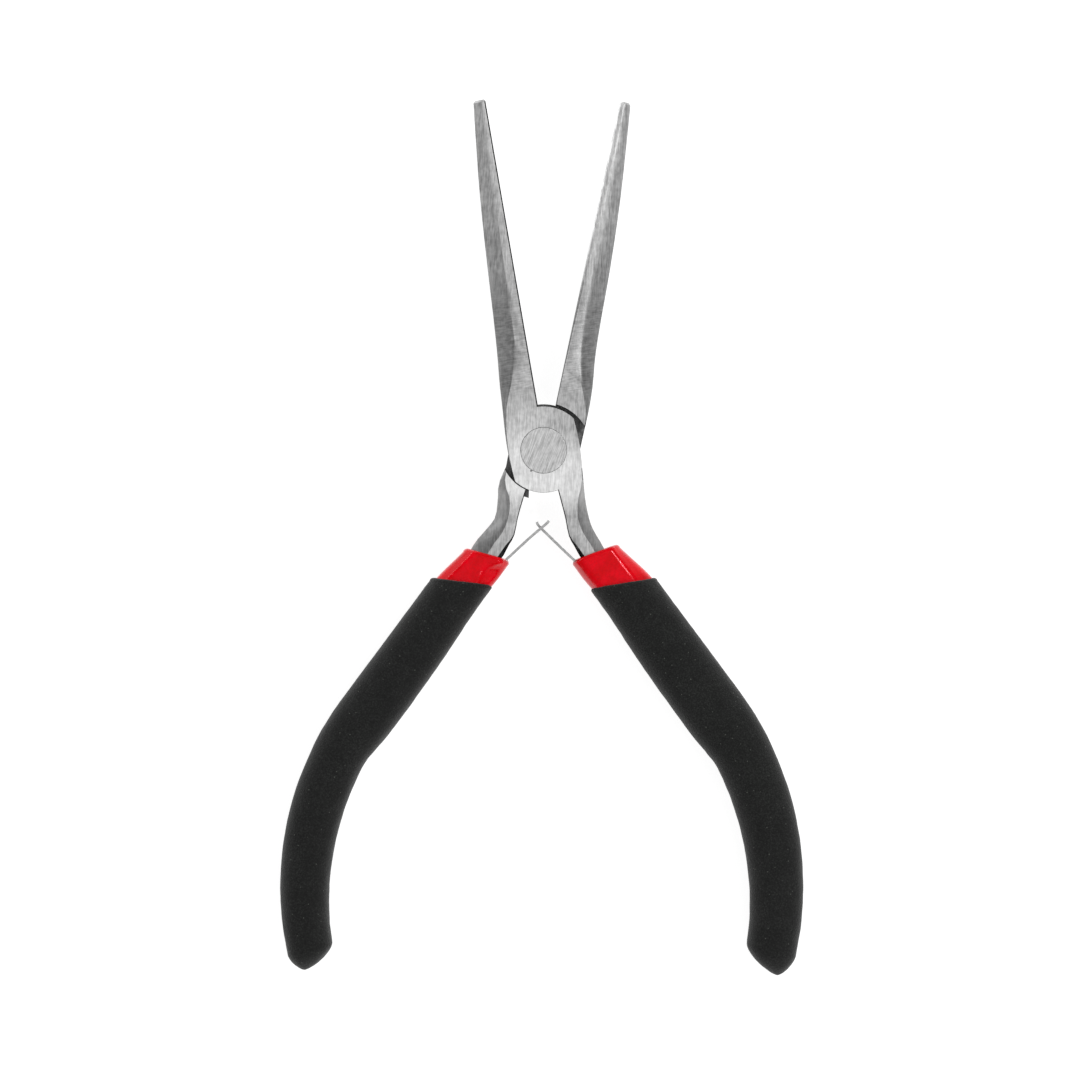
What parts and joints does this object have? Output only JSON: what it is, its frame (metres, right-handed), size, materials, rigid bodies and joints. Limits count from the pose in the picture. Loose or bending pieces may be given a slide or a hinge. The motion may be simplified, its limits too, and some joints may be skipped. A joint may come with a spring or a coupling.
{
  "type": "long-nose pliers",
  "caption": "Small long-nose jewellery pliers standing open on crossed leaf springs, with a flush-riveted lap joint, smooth slender jaws, red vinyl sleeves and bowed black foam grips.",
  "frame": {"origin": "on the pivot axis, at the joint's flat back face", "axes": "+Y runs from the pivot towards the jaw tips, midway between the open jaws to within two degrees; +X points to the half whose jaw is behind in the lap; +Z runs out of the joint's front face, where the front half's plate is"},
  "size_m": [0.0878, 0.1472, 0.0112],
  "materials": {
    "ground_steel": "belt ground, with dark unground lap faces",
    "rivet_steel": "ground flush",
    "spring_steel": "cold rolled",
    "red_vinyl": "glossy dipped",
    "black_foam": "matte closed-cell foam"
  },
  "bodies": {
    "front": {"front_half": "ground_steel", "pivot_rivet": "rivet_steel", "right_spring_rivet": "rivet_steel", "right_vinyl_sleeve": "red_vinyl", "right_foam_grip": "black_foam"},
    "back": {"back_half": "ground_steel", "left_spring_rivet": "rivet_steel", "left_vinyl_sleeve": "red_vinyl", "left_foam_grip": "black_foam"},
    "right_leaf": {"right_leaf_spring": "spring_steel"},
    "left_leaf": {"left_leaf_spring": "spring_steel"}
  },
  "joints": [
    {"name": "jaw_pivot", "type": "hinge", "parent": "front", "child": "back", "pos_m": [0, 0, 0.0035], "axis": [0, 0, 1], "range_deg": [-4, 21.7], "stiffness_Nm_per_rad": 0.6},
    {"name": "right_leaf_flex", "type": "hinge", "parent": "front", "child": "right_leaf", "pos_m": [0.00527, -0.01852, 0.0035], "axis": [0, 0, 1], "range_deg": [-21, 5], "deforming": ["right_leaf_spring"]},
    {"name": "left_leaf_flex", "type": "hinge", "parent": "back", "child": "left_leaf", "pos_m": [-0.00621, -0.01828, 0.0035], "axis": [0, 0, 1], "range_deg": [-5, 21], "deforming": ["left_leaf_spring"]}
  ],
  "couplings": [
    {"joint": "right_leaf_flex", "follows": "jaw_pivot", "ratio": -0.92},
    {"joint": "left_leaf_flex", "follows": "jaw_pivot", "ratio": 0.9}
  ]
}
